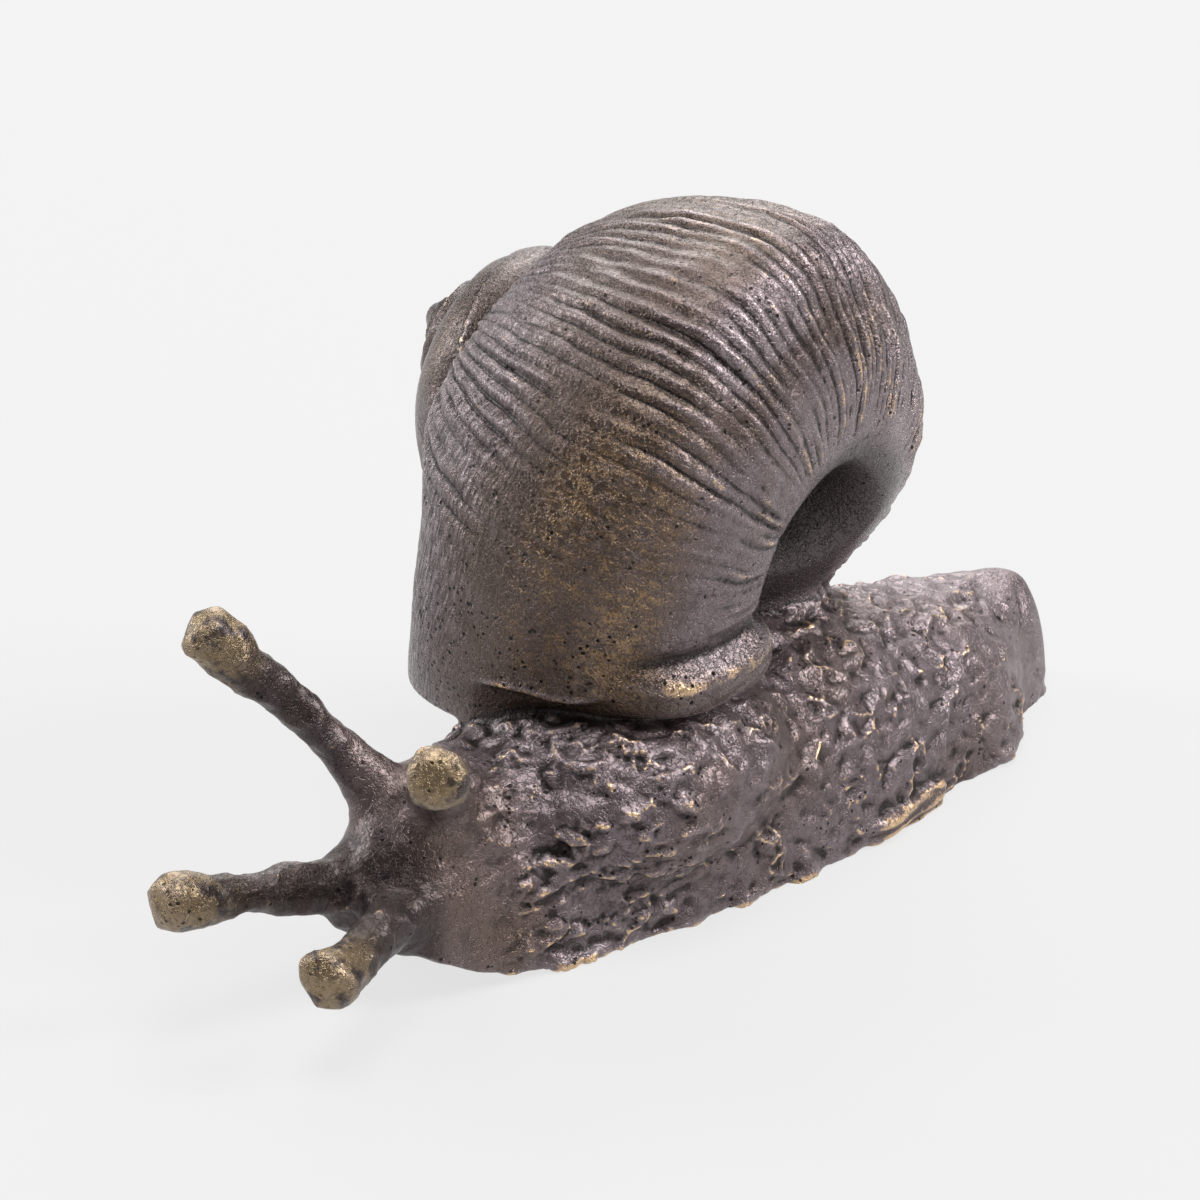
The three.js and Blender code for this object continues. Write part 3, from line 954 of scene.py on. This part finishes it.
class Bronze(Nodes):
    """The patinated bronze: sockets that its parts share, and the parts of its colour and relief."""

    def __init__(self, material):
        super().__init__(material)
        self.whole = self.place()
        self.grain = self.noise(self.whole, 4400, 3.0, 0.65)
        self.mottle = self.noise(self.whole, 500, 3.0, 0.55)
        self.specks = self.noise(self.whole, 6500, 2.0, 0.6)
        self.crags = self.noise(self.whole, 1300, 3.0, 0.6)
        self.cloud = self.noise(self.whole, 90, 2.0, 0.5)
        self.on_shell, self.head = self.mark("on_shell"), self.mark("head")
        self.turn, self.across = self.mark("turn"), self.mark("across")
        self.ridge, self.bulk = self.mark("ridge"), self.mark("bulk")
        self.streaks = self.noise(self.drawn_out(85.0, 42.0), 1.0, 3.0, 0.6)
        self.brushed = self.shell_past(BRUSHED_TURNS, BRUSHED_ANGLES)
        self.rubbed = self.rubbed_zone()
        self.pinholes = self.pinhole_share()

    def drawn_out(self, per_turn, per_radian):
        """A place whose noise is drawn out along the whorl or across it."""
        return self.vector(self.times(self.turn, per_turn), self.times(self.across, per_radian), 0.0)

    def shell_part(self, turns, angles):
        return self.times(self.times(turns, angles), self.on_shell)

    def shell_window(self, turns, angles):
        return self.shell_part(self.window(self.turn, *turns), self.window(self.across, *angles))

    def shell_past(self, turns, angles):
        return self.shell_part(self.ramp(self.turn, *turns), self.ramp(self.across, *angles))

    def rubbed_zone(self):
        """The rubbed front, whose edges swing towards the spire as the whorl goes back."""
        from_base = self.plus(self.across, self.ramp(self.turn, 0.18, 0.34, 0.0, -0.8))
        from_spire = self.plus(self.across, self.ramp(self.turn, 0.18, 0.36, 0.0, -0.35))
        angles = self.times(self.ramp(from_base, -1.15, -0.7), self.ramp(from_spire, 0.85, 0.3))
        return self.shell_part(self.window(self.turn, *RUBBED_TURNS), angles)

    def pinhole_share(self):
        """Black casting pinholes, thick low on the shell's front and in clusters elsewhere."""
        fewer_by_base = self.ramp(self.across, -1.2, 0.0, 0.35, 1.0)
        low_front = self.times(self.ramp(self.turn, 0.17, 0.12), fewer_by_base)
        low_front = self.times(self.times(low_front, self.on_shell), self.ramp(self.mottle, 0.31, 0.40))
        clusters = self.ramp(self.mottle, 0.54, 0.59, 0.0, 0.85)
        holes = self.ramp(self.dots(self.whole, 1500), 0.25, 0.19)
        return self.times(holes, self.plus(low_front, clusters))

    def patina(self):
        """Grey-violet and brown patina, with the paler and darker regions of the casting, a painted sheen
        on the shell's base side and rim, and painted shade on the face and in the umbilicus.
        """
        brown = self.plus(self.ramp(self.cloud, 0.42, 0.62, 0.0, 0.5), self.times(self.head, 0.5))
        colour = self.mix(brown, GREY_PATINA, BROWN_PATINA)
        colour = self.mix(self.ramp(self.mottle, 0.5, 0.3, 0.0, 0.4), colour, DARK_PATINA_AND_SHADE)
        colour = self.mix(self.times(self.mark("rubbed_edge"), 0.45), colour, RUBBED_BROWN)
        # Painted sheen: the base side and the rim of the last whorl are greyed where they catch the light.
        base, rim = self.shell_past(SHEEN_BASE_TURNS, SHEEN_BASE_ANGLES), self.shell_past(SHEEN_RIM_TURNS, SHEEN_RIM_ANGLES)
        colour = self.mix(self.plus(self.times(base, 0.4), self.times(rim, 0.55)), colour, WORN_AND_SHEEN_GREY)
        colour = self.mix(self.times(self.shell_past(TOP_TURNS, TOP_ANGLES), 0.5), colour, RUBBED_BROWN)
        colour = self.mix(self.times(self.mark("tail"), 0.45), colour, WORN_AND_SHEEN_GREY)
        in_valley = self.shell_window(VALLEY_TURNS, VALLEY_ANGLES)
        colour = self.mix(self.times(in_valley, 0.5), colour, RUBBED_BROWN)
        # Painted shade: the face between the tentacles and the umbilicus are darkened, the umbilicus also
        # for patina settled there.
        painted_shade_and_patina = self.plus(self.mark("face"), self.mark("pocket"))
        return self.mix(self.ramp(painted_shade_and_patina, 0.0, 1.0, 0.0, 0.75), colour, DARK_PATINA_AND_SHADE)

    def rub_and_paint_highlight(self, colour):
        """Rubs the shell's front brown and, in grains, golden, and the tentacles' tips to brass, and paints
        a pale highlight patch on the last whorl.
        """
        smears = self.noise(self.drawn_out(260.0, 7.0), 1.0, 2.0)
        uneven = self.ramp(self.plus(self.cloud, smears), 0.75, 1.15, 0.3, 1.0)
        golden = self.times(self.shell_window(GOLD_TURNS, GOLD_ANGLES), uneven)
        grains = self.ramp(self.plus(self.specks, self.times(golden, 0.15)), 0.56, 0.68)
        # Painted highlight: a pale patch on the last whorl where a softbox's reflection falls.
        painted_highlight = self.shell_window(HIGHLIGHT_PATCH_TURNS, HIGHLIGHT_PATCH_ANGLES)
        tip = self.mark("tip")
        colour = self.mix(self.times(self.rubbed, 0.65), colour, RUBBED_BROWN)
        colour = self.mix(self.times(painted_highlight, self.ramp(self.mottle, 0.35, 0.55, 0.3, 0.9)), colour, WORN_AND_SHEEN_GREY)
        colour = self.mix(self.times(grains, self.times(golden, 0.8)), colour, RUBBED_GOLD)
        colour = self.mix(self.times(tip, self.ramp(self.mottle, 0.4, 0.52, 0.1, 0.85)), colour, TIP_BRASS)
        spots = self.ramp(self.mottle, 0.44, 0.37, 0.0, 0.75)
        colour = self.mix(self.times(tip, spots), colour, DARK_PATINA_AND_SHADE)
        return self.mix(self.times(self.mark("under_lip"), 0.75), colour, RUBBED_BROWN)

    def wear(self, colour):
        """Darkens hollows and seams, greys ridges and lays gold on the sharpest of them."""
        dark_streaks = self.ramp(self.streaks, 0.50, 0.38, 0.0, 0.8)
        pale_streaks = self.ramp(self.streaks, 0.51, 0.62, 0.0, 0.9)
        colour = self.mix(self.times(self.brushed, dark_streaks), colour, DARK_PATINA_AND_SHADE)
        colour = self.mix(self.times(self.brushed, pale_streaks), colour, WORN_AND_SHEEN_GREY)
        hollow = self.plus(self.times(self.ridge, -14.0), self.times(self.bulk, -5.0))
        colour = self.mix(self.ramp(hollow, 0.1, 0.9, 0.0, 0.9), colour, DARK_PATINA_AND_SHADE)
        ridges = self.ramp(hollow, -0.2, -1.2, 0.0, 0.55)
        less_on_head = self.ramp(self.head, 0.0, 1.0, 1.0, 0.3)
        colour = self.mix(self.times(ridges, less_on_head), colour, WORN_AND_SHEEN_GREY)
        colour = self.mix(self.times(self.mark("seam"), 0.8), colour, DARK_PATINA_AND_SHADE)
        crest = self.plus(self.times(self.ridge, 14.0), self.times(self.plus(self.grain, self.mottle), 1.2))
        crest = self.plus(crest, self.times(self.mark("rubbed_edge"), 0.5))
        crest = self.plus(crest, self.times(self.rubbed, 0.15))
        return self.mix(self.ramp(crest, 1.75, 2.3, 0.0, 0.85), colour, BRIGHT_GOLD)

    def relief(self):
        """Height in millimetres of what is too fine for the mesh: grain, streaks, creases, pinholes."""
        grain = self.times(self.grain, self.ramp(self.on_shell, 0.0, 1.0, 0.06, 0.08))
        streaked = self.times(self.times(self.streaks, self.brushed), 0.45)
        craggy = self.times(self.crags, self.ramp(self.on_shell, 0.0, 1.0, 0.12, 0.08))
        creases = self.ramp(self.math("ABSOLUTE", self.plus(self.crags, -0.5)), 0.0, 0.05)
        creased = self.times(creases, self.ramp(self.on_shell, 0.0, 1.0, 0.06, 0.05))
        height = self.plus(self.plus(grain, streaked), self.plus(craggy, creased))
        return self.plus(height, self.times(self.pinholes, -0.14))


def bronze_material():
    material = bpy.data.materials.new("patinated_bronze")
    material.use_nodes = True
    shader = material.node_tree.nodes["Principled BSDF"]
    bronze = Bronze(material)
    colour = bronze.wear(bronze.rub_and_paint_highlight(bronze.patina()))
    bronze.link(bronze.mix(bronze.pinholes, colour, PINHOLE_BLACK), shader.inputs["Base Color"])
    rougher_foot = bronze.ramp(bronze.on_shell, 0.0, 1.0, 0.11, 0.0)
    roughness = bronze.plus(bronze.ramp(bronze.grain, 0.3, 0.7, 0.18, 0.34), rougher_foot)
    bronze.link(roughness, shader.inputs["Roughness"])
    shader.inputs["Metallic"].default_value = 0.8
    bronze.link(bronze.ramp(bronze.pinholes, 0.0, 1.0, 0.15, 0.0), shader.inputs["Coat Weight"])
    shader.inputs["Coat Roughness"].default_value = 0.35
    bump = material.node_tree.nodes.new("ShaderNodeBump")
    bump.inputs["Distance"].default_value = MM
    bump.inputs["Strength"].default_value = 1.0
    bronze.link(bronze.relief(), bump.inputs["Height"])
    bronze.link(bump.outputs["Normal"], shader.inputs["Normal"])
    return material


snail, shift = make_snail()
snail.data.materials.append(bronze_material())


# ---- floor, light and camera ----------------------------------------------------------------------

VIEW_TARGET = Vector((6, 0, 22)) * MM + shift
VIEW_AZIMUTH = 39.0
VIEW_ELEVATION = 24.0
VIEW_DISTANCE = 0.4
LENS = 162.0
FLOOR_SIDE = 4.0
FLOOR_GREY = (0.08, 0.08, 0.08, 1)
FLOOR_GLOW = 0.735
WORLD_GLOW = 0.06
WHITE = (1, 1, 1, 1)
# Each light's azimuth and elevation in degrees, distance and size in metres, and power in watts.
LIGHTS = {
    "left_softbox": (-76, 20, 0.9, 0.4, 4.9),
    "right_softbox": (127, 38, 0.9, 0.4, 7.0),
    "back_softbox": (219, 36, 0.9, 0.8, 7.1),
    "top_softbox": (60, 82, 0.8, 0.5, 5.5),
}


def direction(azimuth, elevation):
    turn, climb = math.radians(azimuth), math.radians(elevation)
    return Vector((math.cos(climb) * math.cos(turn), math.cos(climb) * math.sin(turn), math.sin(climb)))


def aim(thing, place, target):
    thing.location = place
    thing.rotation_euler = (target - place).to_track_quat("-Z", "Y").to_euler()


def make_camera():
    camera = bpy.data.objects.new("camera", bpy.data.cameras.new("camera"))
    camera.data.lens = LENS
    camera.data.sensor_width = 36.0
    camera.data.clip_start = 0.01
    bpy.context.scene.collection.objects.link(camera)
    aim(camera, VIEW_TARGET + direction(VIEW_AZIMUTH, VIEW_ELEVATION) * VIEW_DISTANCE, VIEW_TARGET)
    bpy.context.scene.camera = camera


def make_floor():
    data = bpy.data.meshes.new("floor")
    corners = [(x * FLOOR_SIDE, y * FLOOR_SIDE, 0) for x, y in ((-1, -1), (1, -1), (1, 1), (-1, 1))]
    data.from_pydata(corners, [], [(0, 1, 2, 3)])
    floor = bpy.data.objects.new("floor", data)
    bpy.context.scene.collection.objects.link(floor)
    material = bpy.data.materials.new("floor")
    material.use_nodes = True
    shader = material.node_tree.nodes["Principled BSDF"]
    shader.inputs["Base Color"].default_value = FLOOR_GREY
    shader.inputs["Roughness"].default_value = 0.9
    shader.inputs["Specular IOR Level"].default_value = 0.0
    shader.inputs["Emission Color"].default_value = WHITE
    shader.inputs["Emission Strength"].default_value = FLOOR_GLOW
    data.materials.append(material)


def make_world():
    world = bpy.data.worlds.new("studio")
    world.use_nodes = True
    background = world.node_tree.nodes["Background"]
    background.inputs["Color"].default_value = WHITE
    background.inputs["Strength"].default_value = WORLD_GLOW
    bpy.context.scene.world = world


def make_light(name, azimuth, elevation, distance, size, power):
    data = bpy.data.lights.new(name, "AREA")
    data.shape = "DISK"
    data.size = size
    data.energy = power
    light = bpy.data.objects.new(name, data)
    bpy.context.scene.collection.objects.link(light)
    aim(light, VIEW_TARGET + direction(azimuth, elevation) * distance, VIEW_TARGET)


make_camera()
make_floor()
make_world()
for name, settings in LIGHTS.items():
    make_light(name, *settings)
bpy.context.scene.view_settings.view_transform = "Standard"
